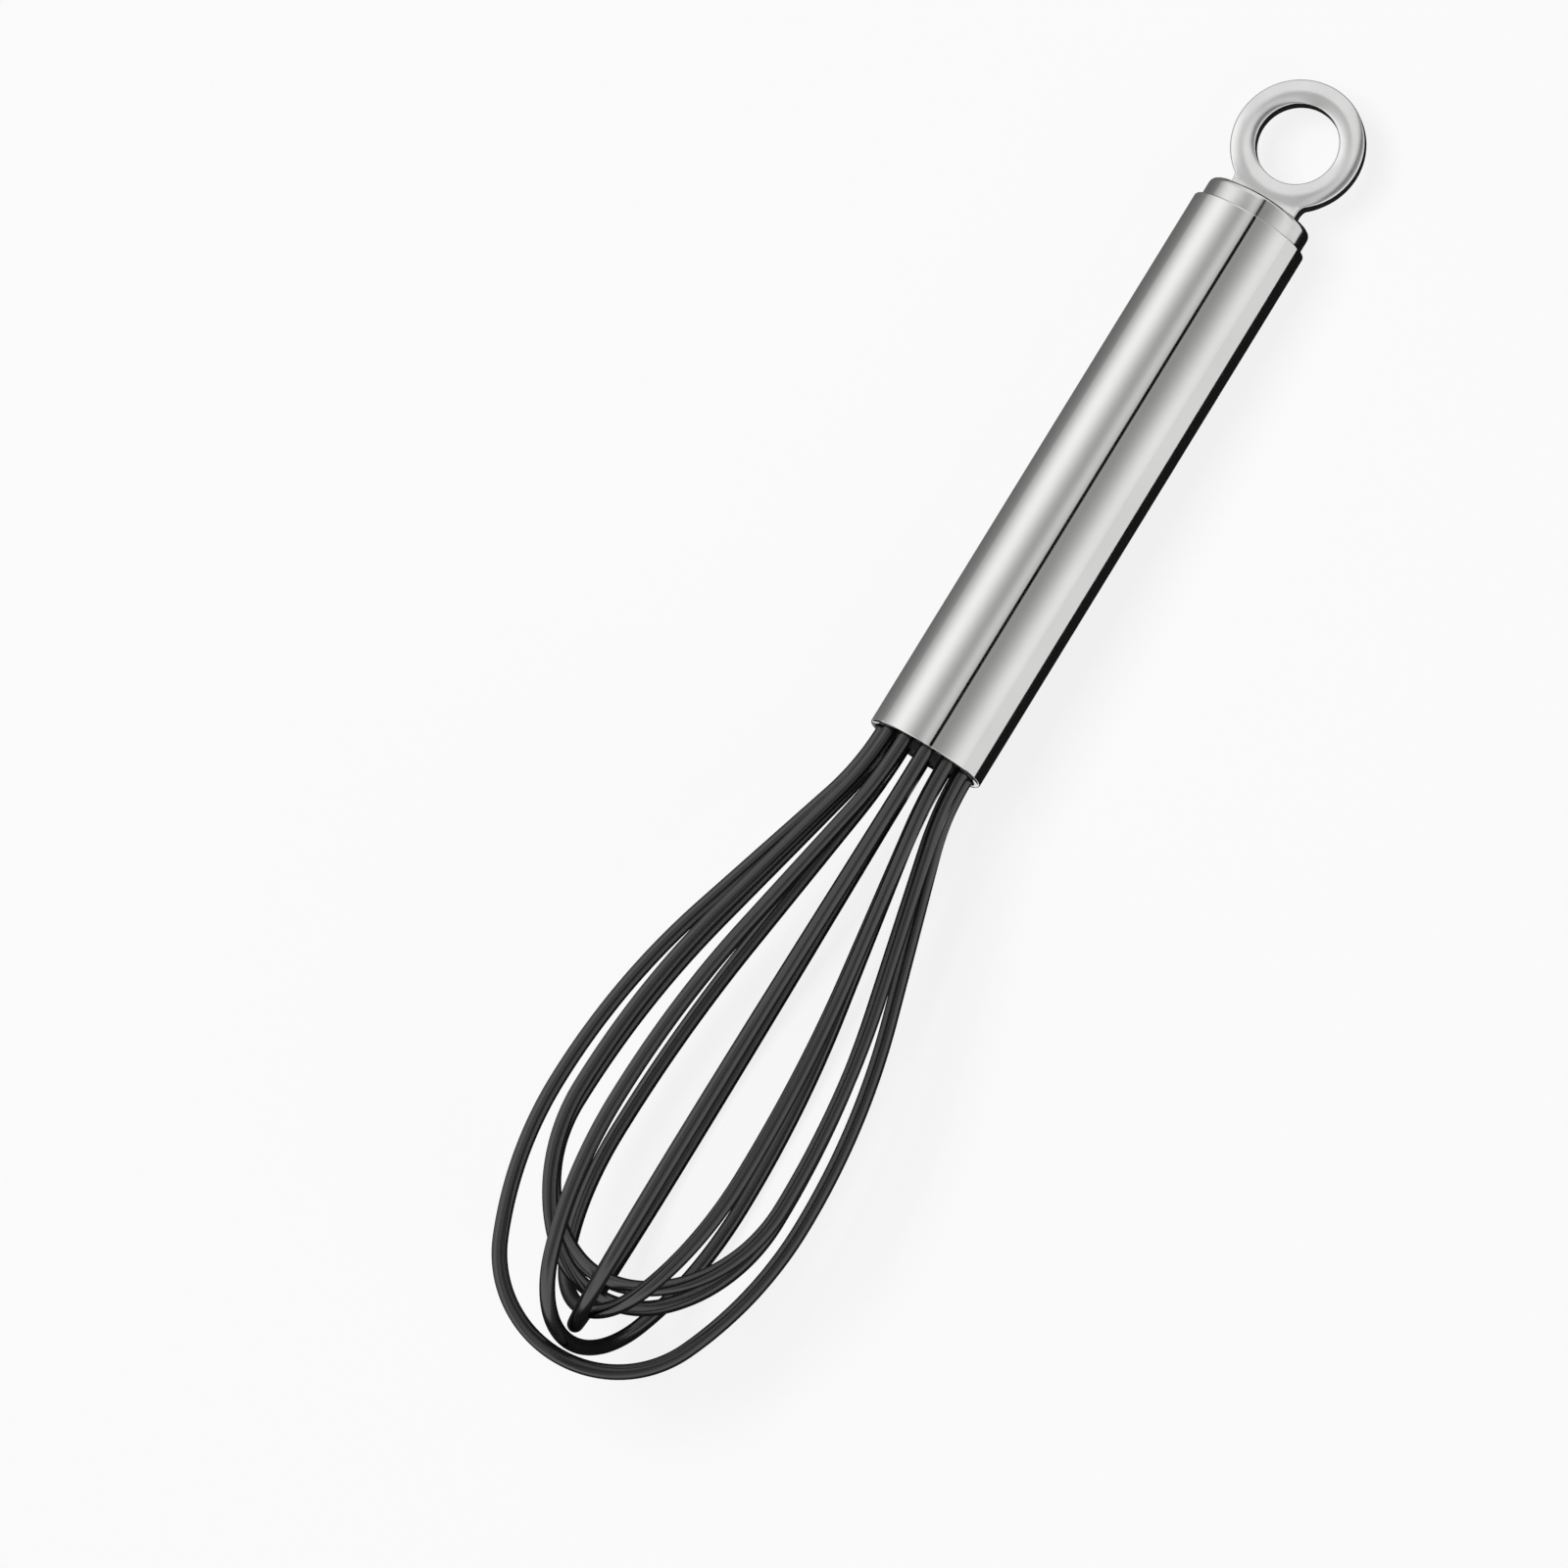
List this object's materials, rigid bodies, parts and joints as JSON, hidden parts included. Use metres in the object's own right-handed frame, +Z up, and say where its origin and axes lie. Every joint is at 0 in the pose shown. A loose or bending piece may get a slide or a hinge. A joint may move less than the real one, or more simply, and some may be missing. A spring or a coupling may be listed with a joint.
{
  "type": "balloon whisk",
  "caption": "Hand whisk: round polished steel handle with a flat hanging ring, and a balloon of nested silicone-sleeved wire loops.",
  "frame": {"origin": "centre of the footprint, on the table that the whisk lies on", "axes": "+X along the whisk from the hanging ring to the balloon's tip, +Y across it, +Z up from the table"},
  "size_m": [0.2192, 0.0424, 0.0465],
  "materials": {
    "polished_steel": "polished stainless steel",
    "cap_steel": "polished stainless steel",
    "satin_steel": "satin stainless steel",
    "plug_plastic": "black moulded heat-proof plastic",
    "sealing_resin": "cured casting resin",
    "black_silicone": "matte black silicone"
  },
  "bodies": {
    "root": {"handle_tube": "polished_steel", "end_cap": "cap_steel", "hanging_ring": "satin_steel", "wire_plug": "plug_plastic", "resin_seal": "sealing_resin", "wire_loop_1": "black_silicone", "wire_loop_2": "black_silicone", "wire_loop_3": "black_silicone", "wire_loop_4": "black_silicone", "wire_loop_5": "black_silicone", "wire_loop_6": "black_silicone"}
  },
  "joints": []
}
